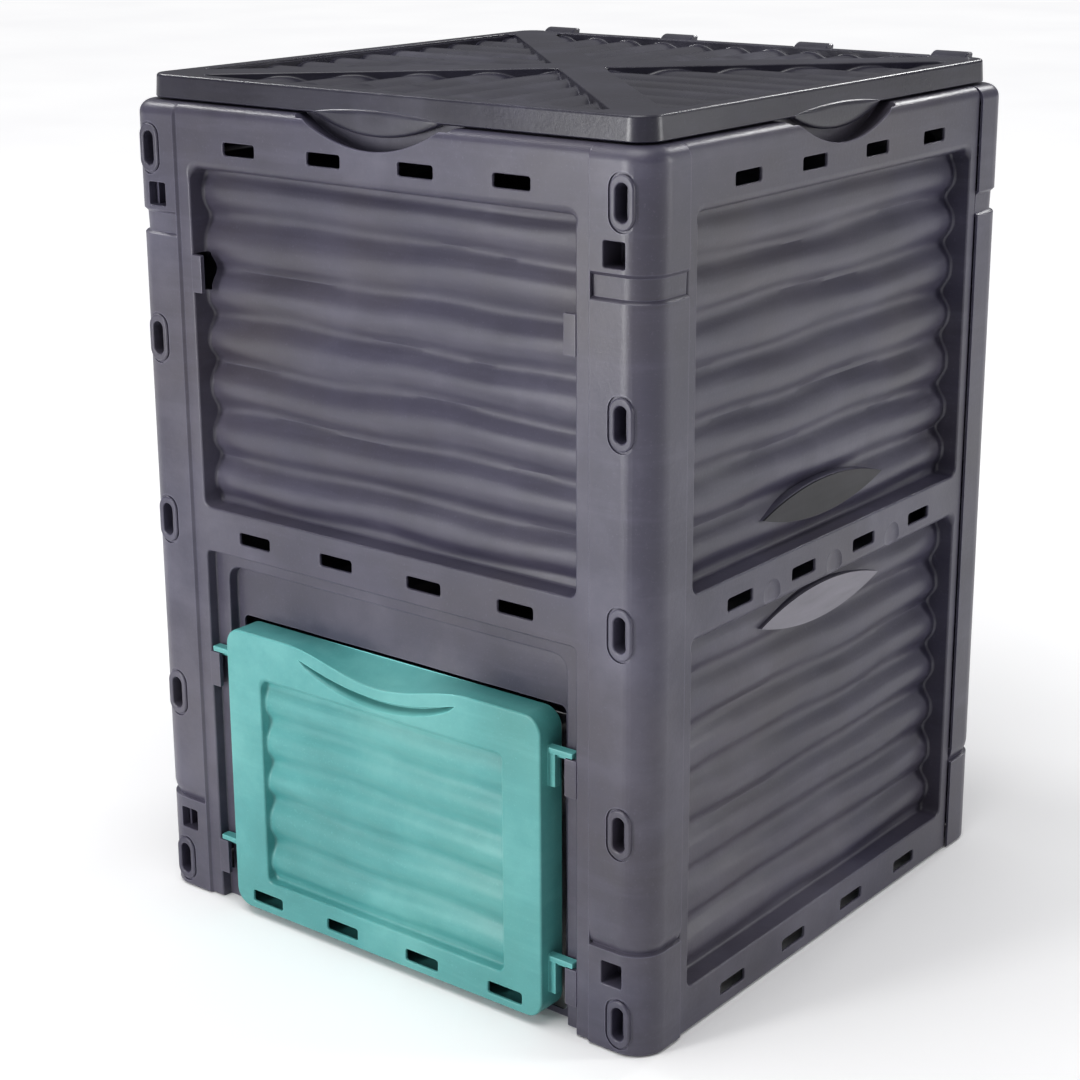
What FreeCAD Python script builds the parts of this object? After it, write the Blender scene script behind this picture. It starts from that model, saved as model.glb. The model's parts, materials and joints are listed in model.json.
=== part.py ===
import FreeCAD, Part
import math
import os

# Square garden compost bin of moulded plastic: four snap-together wall panels, a lid hinged along
# the back, and a hook-on hatch door low on the front.
# Frame: +Z up, origin on the ground at the middle of the footprint, front towards -Y, right towards +X.
# Millimetres.

V = FreeCAD.Vector
Z_AXIS = V(0, 0, 1)

# ---- driving dimensions -------------------------------------------------------------------------
WIDTH = 610.0            # outside, pillar face to pillar face, both ways
HEIGHT = 830.0           # ground to the top of the lid
WALL_TOP = 806.0         # top edge of the wall panels
SHOULDER_R = 13.0        # the walls' top edge is rounded over by this much
SKIN = 2.5               # moulded wall thickness
GAP = 0.5                # clearance between separate pieces
CLEAR = 1.0              # how far a cutting shape runs past the surface it cuts

CORNER_R = 30.0          # outer radius of the bin's vertical corners
SEAM = 250.0             # front and back panels wrap round the corners to this far from the middle
DEPTH = 30.0             # how deep a wall panel's edge flanges are
FACE_STEP = 3.0          # the frame face lies this far behind the pillar face
PILLAR_EDGE = 242.0      # where the pillar face steps down to the frame face, from the middle

FIELD_HALF = 226.0       # half width of the recessed fields of front and back
SIDE_FIELD_HALF = 234.0  # half width of the recessed fields of the side panels
TOP_FIELD = (418.0, 745.0)
LOW_FIELD = (44.0, 372.0)
FIELD_DEPTH = 23.0       # mid-plane of the corrugated skin behind the pillar face
WAVES = 7                # corrugations in one field
WAVE_HEIGHT = 4.5        # from the mid-plane to a crest

VENT = (40.0, 12.0)      # vent slot width and height
VENT_ROWS = (18.0, 393.0, 768.0)
VENT_COLUMNS = (-160.0, -54.0, 54.0, 160.0)

LATCH_X = 276.0          # upright latch slots in the pillars
LATCH_SLOT = (13.0, 32.0)
LATCH_RIM = (24.0, 46.0)
LATCH_ROWS = (30.0, 213.0, 396.0, 579.0, 762.0)
TONGUE_SHORT = 4.0       # a latch tongue ends this far inside its slot's ends
TONGUE_BEHIND = 2.0      # and this far behind the pillar face
PEG_HOLE_X = 268.0
PEG_HOLE = 22.0          # side of the square holes
PEG_HOLE_ROWS = (76.0, 719.0)
GROOVE_DEPTH = 4.0
TOP_GROOVE = (681.0, 703.0)
LOW_GROOVE = (99.0, 112.0)
GROOVE_FRONT_EDGE = 244.0

SCOOP_HALF = 86.0        # finger scoops under the lid
SCOOP_DROP = 26.0
SCOOP_DEPTH = 14.0

HATCH_TOP = 306.0        # bottom edge of the fixed panel above the hatch
HATCH_HALF = 200.0       # half width of the opening behind the door
SILL_TOP = 12.0
STRIP_DEPTH = 14.0       # strip round the hatch recess, behind the pillar face
STRIP_WIDTH = 18.0       # at the sides
STRIP_HEIGHT = 15.0      # along the top
FIXED_DEPTH = 24.5       # face of the fixed panel, behind the pillar face

DOOR_HALF = 195.0
DOOR_BOTTOM = 8.0
DOOR_TOP = 303.0
DOOR_PROUD = 7.0         # the door stands this far in front of the pillar face
DOOR_DEPTH = 32.0
DOOR_R = 18.0
DOOR_FIELD_HALF = 150.0
DOOR_FIELD = (43.0, 255.0)
DOOR_FIELD_DEPTH = 9.0
DOOR_WAVES = 5
DOOR_WAVE_HEIGHT = 3.6
DOOR_SCOOP_HALF = 112.0
DOOR_SCOOP_DROP = 20.0
DOOR_SLIT_HALF = 92.0
DOOR_SLIT = 8.0
DOOR_SLIT_BELOW = 14.0   # from the top edge to the ends of the slit
DOOR_VENT_ROW = 22.0
DOOR_VENT_COLUMNS = (-152.0, -51.0, 51.0, 152.0)

TAB_TOPS = (65.0, 268.0, 665.0)
TAB_HEIGHT = 36.0
TAB_REACH = 11.0         # from the field's edge towards the middle
TAB_THICK = 3.0
TAB_FACE = 3.0           # behind the pillar face
TAB_HOLE = 6.0           # how far the mould's hole behind a tab reaches into the field
HOOK_ARM = 6.0           # height of the arm that rests on a tab
HOOK_LEG = 38.0
HOOK_LEG_WIDTH = 11.0
HOOK_FRONT = 2.0         # the arm's front, behind the pillar face
HOOK_LIP = (8.2, 11.0)   # the lip behind the tab, from and to, behind the pillar face
HOOK_LIP_DROP = 4.0

LID_HALF = 291.0
LID_R = 22.0
LID_BOTTOM = 808.0
LID_RIM = 16.0           # width of the flat rim round the lid's edge
LID_BAND = 44.0          # width of the diagonal bands
LID_SINK = 7.0           # the triangles lie this far below the bands
LID_LIP_HALF = 76.0
LID_LIP_DROP = 17.0
LID_RING_GAP = 2.0       # between the ring under the lid and the walls' inner edge
LID_RING_DROP = 12.0     # how far that ring drops inside the walls

HINGE_X = (-245.0, -85.0, 85.0, 245.0)
HINGE_Y = 296.0
HINGE_Z = 818.0
PIN_R = 3.0
PIN_LENGTH = 44.0
PIN_FIT = 0.08           # radial running clearance of the lid's knuckle on its pin
KNUCKLE_R = 7.0
KNUCKLE_WIDTH = 22.0
LUG_WIDTH = 8.0
HINGE_ROOM = 8.5         # radius that the lid leaves clear round the hinge axis

BADGE_HALF = 105.0       # lens-shaped blank plates on the side panels
BADGE_BULGE = 17.0
BADGE_ROWS = (450.0, 347.0)
BADGE_THICK = 2.0
DIMPLE_R = 13.0
DIMPLE_DEPTH = 1.2
DIMPLE_Y = (-108.0, 0.0, 108.0)
DIMPLE_Z = 385.0

HALF = WIDTH / 2
FACE = HALF - FACE_STEP                  # frame face, from the middle
FLANGE = HALF - DEPTH                    # inner edge of the panels' flanges
FIELD_FACE = HALF - FIELD_DEPTH          # mid-plane of the corrugated skins
BADGE_SEAT = FIELD_FACE + WAVE_HEIGHT + SKIN / 2
DOOR_FRONT = HALF + DOOR_PROUD
DOOR_REAR = DOOR_FRONT - DOOR_DEPTH


def box(x0, x1, y0, y1, z0, z1):
    """Box from its limits, given in any order."""
    low = V(min(x0, x1), min(y0, y1), min(z0, z1))
    return Part.makeBox(abs(x1 - x0), abs(y1 - y0), abs(z1 - z0), low)


def fuse(shapes):
    return shapes[0].multiFuse(shapes[1:]).removeSplitter()


def mirrored(shape):
    """The same shape on the other side of the X = 0 plane."""
    return shape.mirror(V(0, 0, 0), V(1, 0, 0))


def turned(shape, degrees):
    copy = shape.copy()
    copy.rotate(V(0, 0, 0), Z_AXIS, degrees)
    return copy


def extruded(points, direction):
    """Straight-sided outline through the points, pushed along a direction."""
    return Part.Face(Part.makePolygon(points + points[:1])).extrude(direction)


def rounded_column(half, radius, z0, z1):
    """Square column with rounded upright edges."""
    column = box(-half, half, -half, half, z0, z1)
    upright = [e for e in column.Edges if abs(e.tangentAt(e.FirstParameter).z) > 0.99]
    return column.makeFillet(radius, upright)


def domed_column(inset, top):
    """The bin's outside with its rounded corners and shoulder, moved in by inset and cut off at top."""
    column = rounded_column(HALF - inset, CORNER_R - inset, -CLEAR if inset else 0, top)
    rim = [e for e in column.Edges if min(v.Z for v in e.Vertexes) > top - 0.01]
    return column.makeFillet(SHOULDER_R - inset, rim)


def bin_shell(inset):
    """Skin of the whole bin, with a closed top that each panel keeps a rim of."""
    return domed_column(inset, WALL_TOP).cut(domed_column(inset + SKIN, WALL_TOP - SKIN))


def lens(half, bulge_up, bulge_down, z, y0, y1):
    """Lens-shaped or bow-shaped slab facing -Y: two arcs that meet at x = -half and x = half."""
    left = V(-half, y0, z)
    right = V(half, y0, z)
    edges = []
    for bulge in (bulge_up, -bulge_down):
        if bulge == 0:
            edges.append(Part.makeLine(left, right))
        else:
            edges.append(Part.Arc(left, V(0, y0, z + bulge), right).toShape())
    return Part.Face(Part.Wire(Part.__sortEdges__(edges))).extrude(V(0, y1 - y0, 0))


def obround(width, height, x, z, y0, y1):
    """Upright slot with rounded ends, facing -Y."""
    r = width / 2
    straight = height / 2 - r
    shape = box(x - r, x + r, y0, y1, z - straight, z + straight)
    for end in (z - straight, z + straight):
        shape = shape.fuse(Part.makeCylinder(r, abs(y1 - y0), V(x, min(y0, y1), end), V(0, 1, 0)))
    return shape.removeSplitter()


def wave_sheet(half, z0, z1, middle, waves, height, thick):
    """Corrugated sheet facing -Y. Its crests run along X, and it fills z0 to z1."""
    steps = 4 * waves
    curves = []
    for side in (-thick / 2, thick / 2):
        points = []
        for i in range(steps + 1):
            z = z0 + (z1 - z0) * i / steps
            points.append(V(-half, -middle + side - height * math.cos(2 * math.pi * i / 4), z))
        spline = Part.BSplineCurve()
        spline.interpolate(points)
        curves.append(spline.toShape())
    ends = []
    for i in (0, -1):
        ends.append(Part.makeLine(curves[0].Vertexes[i].Point, curves[1].Vertexes[i].Point))
    outline = Part.Wire(Part.__sortEdges__(curves + ends))
    return Part.Face(outline).extrude(V(2 * half, 0, 0))


def vents(columns, row, face):
    """One row of vent slots through the skin of a face that looks towards -Y."""
    width, height = VENT
    front = -face - CLEAR
    rear = -face + SKIN + CLEAR
    return [
        box(x - width / 2, x + width / 2, front, rear, row - height / 2, row + height / 2)
        for x in columns
    ]


def pillar():
    """Left corner of the front panel: a hollow angle that wraps round to the side seam."""
    beyond = -HALF - CLEAR
    keep = box(beyond, -FIELD_HALF, beyond, -SEAM, 0, WALL_TOP)
    mouth = box(-FLANGE, 0, -FLANGE, 0, WALL_TOP / 2, WALL_TOP + CLEAR)
    shell = bin_shell(0).common(keep).cut(mouth)
    outside = rounded_column(HALF, CORNER_R, 0, WALL_TOP)
    step = box(-PILLAR_EDGE, -FIELD_HALF, beyond, -FACE, -CLEAR, WALL_TOP + CLEAR)
    backing = bin_shell(FACE_STEP).common(
        box(-PILLAR_EDGE - SKIN, -FIELD_HALF, -HALF, -FLANGE, 0, WALL_TOP)
    )
    body = shell.cut(step).fuse([backing, edge_wall(FIELD_HALF)])
    # Grooves round the corner, cut in the skin and backed from inside.
    for z0, z1 in (TOP_GROOVE, LOW_GROOVE):
        deeper = rounded_column(HALF - GROOVE_DEPTH, CORNER_R - GROOVE_DEPTH, z0, z1)
        band = outside.cut(deeper).common(box(beyond, -GROOVE_FRONT_EDGE, beyond, -SEAM, z0, z1))
        outer_ring = rounded_column(HALF - GROOVE_DEPTH, CORNER_R - GROOVE_DEPTH, z0 - SKIN, z1 + SKIN)
        inner = rounded_column(
            HALF - GROOVE_DEPTH - SKIN, CORNER_R - GROOVE_DEPTH - SKIN, z0 - SKIN - CLEAR, z1 + SKIN + CLEAR
        )
        backed = outer_ring.cut(inner).common(
            box(-HALF, -GROOVE_FRONT_EDGE + SKIN, -HALF, -SEAM, z0 - SKIN, z1 + SKIN)
        )
        body = body.cut(band).fuse(backed)
    # Flat rims round the latch slots stand out of the rounded corner, then the holes go through.
    for z in LATCH_ROWS:
        body = body.fuse(obround(*LATCH_RIM, -LATCH_X, z, -HALF, -HALF + 2 * SKIN))
    for z in LATCH_ROWS:
        body = body.cut(obround(*LATCH_SLOT, -LATCH_X, z, beyond, -HALF + 4 * SKIN))
    for z in PEG_HOLE_ROWS:
        side = PEG_HOLE / 2
        body = body.cut(
            box(-PEG_HOLE_X - side, -PEG_HOLE_X + side, beyond, -HALF + 4 * SKIN, z - side, z + side)
        )
    return body.removeSplitter()


def edge_wall(half):
    """Upright wall along the left edge of a recessed field, from the frame face to the flange depth."""
    return domed_column(FACE_STEP, WALL_TOP).common(
        box(-half - SKIN, -half, -FACE, -FLANGE, 0, WALL_TOP)
    )


def framed_face(half, z0, z1, scoop=False, row=None):
    """Flat band of the frame with a flange along its top and bottom, from -half to half."""
    shape = bin_shell(FACE_STEP).common(box(-half, half, -HALF, -FLANGE, z0, z1))
    flanges = [box(-half, half, -FACE, -FLANGE, z0, z0 + SKIN)]
    if z1 < WALL_TOP:
        flanges.append(box(-half, half, -FACE, -FLANGE, z1 - SKIN, z1))
    shape = shape.fuse(flanges)
    if scoop:
        wall = lens(SCOOP_HALF + SKIN, 0, SCOOP_DROP + SKIN, z1, -FACE, -FACE + SCOOP_DEPTH + SKIN)
        hollow = lens(SCOOP_HALF, 0, SCOOP_DROP, z1, -HALF - CLEAR, -FACE + SCOOP_DEPTH)
        shape = shape.fuse(wall.common(domed_column(FACE_STEP, WALL_TOP))).cut(hollow)
    if row is not None:
        for slot in vents(VENT_COLUMNS, row, FACE):
            shape = shape.cut(slot)
    return shape.removeSplitter()


def field(half, limits):
    """Recessed corrugated field that fills the space between the frame's flanges."""
    return wave_sheet(half, limits[0], limits[1], FIELD_FACE, WAVES, WAVE_HEIGHT, SKIN)


def hook_tabs(tops):
    """Plates at both edges of the front recess that the door's hooks rest on."""
    tabs = []
    for top in tops:
        tab = box(
            -FIELD_HALF - SKIN,
            -FIELD_HALF + TAB_REACH,
            -HALF + TAB_FACE,
            -HALF + TAB_FACE + TAB_THICK,
            top - TAB_HEIGHT,
            top,
        )
        tabs += [tab, mirrored(tab)]
    return tabs


def tab_holes(tops):
    """Holes that the mould leaves behind the tabs, through the recess's edge wall and its floor."""
    holes = []
    for top in tops:
        hole = box(
            -FIELD_HALF - SKIN - CLEAR,
            -FIELD_HALF + TAB_HOLE,
            -HALF + TAB_FACE + TAB_THICK,
            -FLANGE + CLEAR,
            top - TAB_HEIGHT,
            top,
        )
        holes += [hole, mirrored(hole)]
    return holes


def hatch_surround():
    """Fixed panel above the hatch, the strip that frames it, and the seat behind the door's edge."""
    strip = -HALF + STRIP_DEPTH
    fixed = -HALF + FIXED_DEPTH
    seat = -FLANGE - SKIN
    inner = FIELD_HALF - STRIP_WIDTH
    strip_bottom = LOW_FIELD[1] - STRIP_HEIGHT
    side_strip = box(-FIELD_HALF, -inner, strip, strip + SKIN, 0, LOW_FIELD[1])
    side_wall = box(-inner - SKIN, -inner, strip, -FLANGE, 0, LOW_FIELD[1])
    jamb = box(-inner - SKIN, -HATCH_HALF, seat, -FLANGE, 0, HATCH_TOP)
    parts = []
    for part in (side_strip, side_wall, jamb):
        parts += [part, mirrored(part)]
    parts.append(box(-inner, inner, strip, strip + SKIN, strip_bottom, LOW_FIELD[1]))
    parts.append(box(-inner, inner, strip, fixed + SKIN, strip_bottom, strip_bottom + SKIN))
    parts.append(box(-inner, inner, fixed, fixed + SKIN, HATCH_TOP, strip_bottom + SKIN))
    parts.append(box(-inner, inner, fixed, -FLANGE, HATCH_TOP, HATCH_TOP + SKIN))
    parts.append(box(-HATCH_HALF, HATCH_HALF, seat, -FLANGE, 0, SILL_TOP))
    return parts


def front_panel():
    left = pillar()
    parts = [left, mirrored(left)]
    parts.append(framed_face(FIELD_HALF, TOP_FIELD[1], WALL_TOP, scoop=True, row=VENT_ROWS[2]))
    parts.append(framed_face(FIELD_HALF, LOW_FIELD[1], TOP_FIELD[0], row=VENT_ROWS[1]))
    parts.append(field(FIELD_HALF, TOP_FIELD))
    parts += hatch_surround()
    panel = fuse(parts).cut(Part.makeCompound(tab_holes(TAB_TOPS)))
    return fuse([panel] + hook_tabs(TAB_TOPS))


def hinge_rod(radius, length, x, y):
    """Cylinder along X, centred at x, at the height of the hinge axis."""
    return Part.makeCylinder(radius, length, V(x - length / 2, y, HINGE_Z), V(1, 0, 0))


def hinge_lugs():
    """Pairs of lugs on the back panel's top edge that hold the hinge pins. They face -Y here."""
    lugs = []
    offset = KNUCKLE_WIDTH / 2 + GAP + LUG_WIDTH / 2
    for x in HINGE_X:
        for centre in (x - offset, x + offset):
            lug = hinge_rod(KNUCKLE_R, LUG_WIDTH, centre, -HINGE_Y)
            foot = box(
                centre - LUG_WIDTH / 2,
                centre + LUG_WIDTH / 2,
                -HINGE_Y - KNUCKLE_R,
                -HINGE_Y + KNUCKLE_R,
                WALL_TOP - SKIN,
                HINGE_Z,
            )
            bore = hinge_rod(PIN_R + PIN_FIT, LUG_WIDTH + 2 * CLEAR, centre, -HINGE_Y)
            lugs.append(fuse([lug, foot]).cut(bore))
    return lugs


def back_panel():
    left = pillar()
    parts = [left, mirrored(left)]
    parts.append(framed_face(FIELD_HALF, TOP_FIELD[1], WALL_TOP, row=VENT_ROWS[2]))
    parts.append(framed_face(FIELD_HALF, LOW_FIELD[1], TOP_FIELD[0], row=VENT_ROWS[1]))
    parts.append(framed_face(FIELD_HALF, 0, LOW_FIELD[0], row=VENT_ROWS[0]))
    parts.append(field(FIELD_HALF, TOP_FIELD))
    parts.append(field(FIELD_HALF, LOW_FIELD))
    parts += hinge_lugs()
    return turned(fuse(parts), 180)


def side_panel_facing_front():
    """Side panel, modelled facing -Y between the seams, then turned to its own side."""
    half = SEAM - GAP
    parts = []
    stile = bin_shell(FACE_STEP).common(box(-half, -SIDE_FIELD_HALF, -HALF, -FLANGE, 0, WALL_TOP))
    for part in (stile, edge_wall(half - SKIN), edge_wall(SIDE_FIELD_HALF)):
        parts += [part, mirrored(part)]
    parts.append(framed_face(SIDE_FIELD_HALF, TOP_FIELD[1], WALL_TOP, scoop=True, row=VENT_ROWS[2]))
    parts.append(framed_face(SIDE_FIELD_HALF, LOW_FIELD[1], TOP_FIELD[0], row=VENT_ROWS[1]))
    parts.append(framed_face(SIDE_FIELD_HALF, 0, LOW_FIELD[0], row=VENT_ROWS[0]))
    parts.append(field(SIDE_FIELD_HALF, TOP_FIELD))
    parts.append(field(SIDE_FIELD_HALF, LOW_FIELD))
    tongue = fuse(tongue_strip())
    parts += [tongue, mirrored(tongue)]
    parts += [badge_pad(row) for row in BADGE_ROWS]
    panel = fuse(parts)
    for y in DIMPLE_Y:
        radius = (DIMPLE_R**2 + DIMPLE_DEPTH**2) / (2 * DIMPLE_DEPTH)
        dish = Part.makeSphere(radius, V(y, -FACE - radius + DIMPLE_DEPTH, DIMPLE_Z))
        panel = panel.cut(dish)
    return panel


def tongue_strip():
    """Strip along the panel's edge that reaches inside the corner pillar, with latch tongues.

    The panel faces -Y here, so the neighbouring pillar's latch face is the one at x = -HALF.
    """
    strip_end = -HALF + 3 * SKIN
    edge = -SEAM + GAP
    strip_top = WALL_TOP - SHOULDER_R - SKIN
    parts = [box(strip_end, edge + SKIN, -FLANGE - SKIN, -FLANGE, 0, strip_top)]
    half = LATCH_SLOT[1] / 2 - TONGUE_SHORT
    for z in LATCH_ROWS:
        parts.append(
            box(
                -HALF + TONGUE_BEHIND,
                edge,
                -LATCH_X - SKIN / 2,
                -LATCH_X + SKIN / 2,
                z - half,
                z + half,
            )
        )
    return parts


def badge_pad(row):
    """Flat seat on the corrugated skin that carries a badge plate."""
    return lens(BADGE_HALF, BADGE_BULGE, BADGE_BULGE, row, -BADGE_SEAT, -FIELD_FACE)


def badge(row):
    """Blank lens-shaped plate on its seat, facing -Y."""
    return lens(BADGE_HALF, BADGE_BULGE, BADGE_BULGE, row, -BADGE_SEAT - BADGE_THICK, -BADGE_SEAT)


def door_plate(half, z0, z1, radius, y0, y1):
    """Upright plate with rounded corners, facing -Y."""
    plate = box(-half, half, y0, y1, z0, z1)
    corners = [e for e in plate.Edges if abs(e.tangentAt(e.FirstParameter).y) > 0.99]
    return plate.makeFillet(radius, corners)


def door_hook(top):
    """Hook on the door's left side: a leg beside a tab, an arm that rests on it and a lip behind it."""
    front = -HALF + HOOK_FRONT
    lip_front = -HALF + HOOK_LIP[0]
    lip_back = -HALF + HOOK_LIP[1]
    arm_top = top + HOOK_ARM
    leg = box(
        -DOOR_HALF - HOOK_LEG_WIDTH, -DOOR_HALF + SKIN, front, lip_back, arm_top - HOOK_LEG, arm_top
    )
    arm = box(-FIELD_HALF + SKIN, -DOOR_HALF, front, lip_back, top + GAP, arm_top)
    lip = box(-FIELD_HALF + SKIN, -DOOR_HALF, lip_front, lip_back, top - HOOK_LIP_DROP, arm_top)
    return [leg, arm, lip]


def hatch_door():
    outer = door_plate(DOOR_HALF, DOOR_BOTTOM, DOOR_TOP, DOOR_R, -DOOR_FRONT, -DOOR_REAR)
    hollow = door_plate(
        DOOR_HALF - SKIN,
        DOOR_BOTTOM + SKIN,
        DOOR_TOP - SKIN,
        DOOR_R - SKIN,
        -DOOR_FRONT + SKIN,
        -DOOR_REAR + CLEAR,
    )
    door = outer.cut(hollow)
    # The field: a hole in the front skin, side walls and a corrugated skin behind it.
    z0, z1 = DOOR_FIELD
    well = box(
        -DOOR_FIELD_HALF - SKIN,
        DOOR_FIELD_HALF + SKIN,
        -DOOR_FRONT,
        -DOOR_FRONT + DOOR_FIELD_DEPTH + SKIN,
        z0 - SKIN,
        z1 + SKIN,
    )
    rear = -DOOR_FRONT + DOOR_FIELD_DEPTH + SKIN + CLEAR
    hole = box(-DOOR_FIELD_HALF, DOOR_FIELD_HALF, -DOOR_FRONT - CLEAR, rear, z0, z1)
    skin = wave_sheet(
        DOOR_FIELD_HALF, z0, z1, DOOR_FRONT - DOOR_FIELD_DEPTH, DOOR_WAVES, DOOR_WAVE_HEIGHT, SKIN
    )
    door = door.fuse(well).cut(hole).fuse(skin)
    # Arched handle: a scoop in the top edge and a slit under it.
    scoop_wall = lens(
        DOOR_SCOOP_HALF + SKIN, 0, DOOR_SCOOP_DROP + SKIN, DOOR_TOP, -DOOR_FRONT, -DOOR_REAR
    )
    scoop = lens(DOOR_SCOOP_HALF, 0, DOOR_SCOOP_DROP, DOOR_TOP, -DOOR_FRONT - CLEAR, -DOOR_REAR + CLEAR)
    door = door.fuse(scoop_wall).cut(scoop)
    slit_z = DOOR_TOP - DOOR_SLIT_BELOW
    sag = DOOR_SCOOP_DROP - SKIN
    slit = lens(DOOR_SLIT_HALF, 0, sag + DOOR_SLIT, slit_z, -DOOR_FRONT - CLEAR, -DOOR_FRONT + SKIN + CLEAR)
    above = lens(DOOR_SLIT_HALF, 0, sag, slit_z, -DOOR_FRONT - 2 * CLEAR, -DOOR_FRONT + SKIN + 2 * CLEAR)
    door = door.cut(slit.cut(above))
    for slot in vents(DOOR_VENT_COLUMNS, DOOR_VENT_ROW, DOOR_FRONT):
        door = door.cut(slot)
    hooks = []
    for top in TAB_TOPS[:2]:
        for part in door_hook(top):
            hooks += [part, mirrored(part)]
    return fuse([door] + hooks)


def triangle_wells(wall, z0, z1):
    """The four triangles between the lid's rim and its diagonal bands, grown by a wall thickness."""
    reach = LID_HALF - LID_RIM + wall
    clear = (LID_BAND - 2 * wall) / math.sqrt(2)
    wells = []
    for turn in (0, 90, 180, 270):
        points = [V(0, -clear, z0), V(reach - clear, -reach, z0), V(-reach + clear, -reach, z0)]
        wells.append(turned(extruded(points, V(0, 0, z1 - z0)), turn))
    return wells


def lid():
    outer = rounded_column(LID_HALF, LID_R, LID_BOTTOM, HEIGHT)
    hollow = rounded_column(LID_HALF - SKIN, LID_R - SKIN, LID_BOTTOM - CLEAR, HEIGHT - SKIN)
    shell = outer.cut(hollow).fuse(triangle_wells(SKIN, HEIGHT - LID_SINK - SKIN, HEIGHT))
    for well in triangle_wells(0, HEIGHT - LID_SINK, HEIGHT + CLEAR):
        shell = shell.cut(well)
    # Lips over the finger scoops at the front and both sides.
    lips = []
    for turn in (0, 90, 270):
        lip = lens(LID_LIP_HALF, 0, LID_LIP_DROP, LID_BOTTOM, -LID_HALF, -LID_HALF + SKIN)
        lips.append(turned(lip, turn))
    # Locating ring inside the walls, open at the back where the walls carry the hinge.
    ring_half = FLANGE - LID_RING_GAP
    ring = []
    for turn in (0, 90, 270):
        rib = box(
            -ring_half + LID_R,
            ring_half - LID_R,
            -ring_half,
            -ring_half + SKIN,
            LID_BOTTOM - LID_RING_DROP,
            HEIGHT - SKIN / 2,
        )
        ring.append(turned(rib, turn))
    shell = fuse([shell] + lips + ring)
    # Room for the back panel's lugs, then the knuckles between them.
    notch_half = KNUCKLE_WIDTH / 2 + LUG_WIDTH + SKIN
    notch_front = HINGE_Y - HINGE_ROOM - 2 * SKIN
    for x in HINGE_X:
        room = box(x - notch_half, x + notch_half, notch_front, HALF, LID_BOTTOM - CLEAR, HEIGHT + CLEAR)
        shell = shell.cut(room)
    knuckles = []
    for x in HINGE_X:
        barrel = hinge_rod(KNUCKLE_R, KNUCKLE_WIDTH, x, HINGE_Y)
        arm = box(
            x - KNUCKLE_WIDTH / 2,
            x + KNUCKLE_WIDTH / 2,
            notch_front - SKIN,
            HINGE_Y,
            HINGE_Z,
            HEIGHT - CLEAR,
        )
        bore = hinge_rod(PIN_R + PIN_FIT, KNUCKLE_WIDTH + 2 * CLEAR, x, HINGE_Y)
        knuckles.append(fuse([barrel, arm]).cut(bore))
    return fuse([shell] + knuckles)


def write(name, shape):
    assert shape.isValid(), name
    print(name, "solids", len(shape.Solids), "volume", round(shape.Volume / 1000, 1), "cm3")
    shape.exportStep(f"parts/{name}.step")


def main():
    os.makedirs("parts", exist_ok=True)
    side = side_panel_facing_front()
    write("front_panel", front_panel())
    write("back_panel", back_panel())
    write("right_panel", turned(side, 90))
    write("left_panel", turned(side, 270))
    write("lid", lid())
    write("hatch_door", hatch_door())
    for number, x in enumerate(HINGE_X, 1):
        write(f"hinge_pin_{number}", hinge_rod(PIN_R, PIN_LENGTH, x, HINGE_Y))
    for place, row in zip(("upper", "lower"), BADGE_ROWS):
        write(f"badge_right_{place}", turned(badge(row), 90))
        write(f"badge_left_{place}", turned(badge(row), 270))


main()
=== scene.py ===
import json
import math

import bmesh
import bpy
from mathutils import Matrix, Vector, noise


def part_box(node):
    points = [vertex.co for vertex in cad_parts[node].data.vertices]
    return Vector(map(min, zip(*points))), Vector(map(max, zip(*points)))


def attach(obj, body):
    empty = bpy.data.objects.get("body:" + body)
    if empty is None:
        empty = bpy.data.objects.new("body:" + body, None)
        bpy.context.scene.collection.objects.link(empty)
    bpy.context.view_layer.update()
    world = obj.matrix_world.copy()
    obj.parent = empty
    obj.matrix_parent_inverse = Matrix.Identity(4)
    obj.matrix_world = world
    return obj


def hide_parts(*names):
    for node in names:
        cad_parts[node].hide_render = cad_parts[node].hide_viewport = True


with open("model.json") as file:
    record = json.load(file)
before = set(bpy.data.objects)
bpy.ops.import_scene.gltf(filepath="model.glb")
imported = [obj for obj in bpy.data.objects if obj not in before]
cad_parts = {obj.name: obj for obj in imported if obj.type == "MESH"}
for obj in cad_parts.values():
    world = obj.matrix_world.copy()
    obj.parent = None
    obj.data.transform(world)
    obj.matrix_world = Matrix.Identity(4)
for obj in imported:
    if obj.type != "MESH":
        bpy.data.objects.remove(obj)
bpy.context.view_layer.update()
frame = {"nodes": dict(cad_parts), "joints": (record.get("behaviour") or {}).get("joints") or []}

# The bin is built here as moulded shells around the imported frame. Numbers are millimetres, and
# new_object() turns them into metres. A wall is modelled facing -Y, with depth measured inwards
# from the pillar face, and then turned to its own side.
MM = 0.001


def span(node, axis):
    low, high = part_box(node)
    return low[axis] / MM, high[axis] / MM


# ---- sizes from the frame ----
HALF = span("front_panel", 0)[1]
WALL_TOP = span("front_panel", 2)[1]
SEAM = -span("front_panel", 1)[1]
FACE = span("right_panel", 0)[1]
LID_HALF = span("lid", 0)[1]
LID_TOP = span("lid", 2)[1]
DOOR_BOTTOM, DOOR_TOP = span("hatch_door", 2)
DOOR_MIDDLE = (DOOR_TOP + DOOR_BOTTOM) / 2
DOOR_HALF_Z = (DOOR_TOP - DOOR_BOTTOM) / 2
DOOR_FRONT, DOOR_REAR = (HALF + y for y in span("hatch_door", 1))
HINGE = [c / MM for c in next(j for j in frame["joints"] if j["name"] == "lid_hinge")["pos_m"]]
PIN_MIDDLES = [sum(span(f"hinge_pin_{n}", 0)) / 2 for n in (1, 2, 3, 4)]
BADGE_ROWS = [sum(span(f"badge_right_{place}", 2)) / 2 for place in ("upper", "lower")]
BADGE_HALF = span("badge_right_upper", 1)[1]
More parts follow.
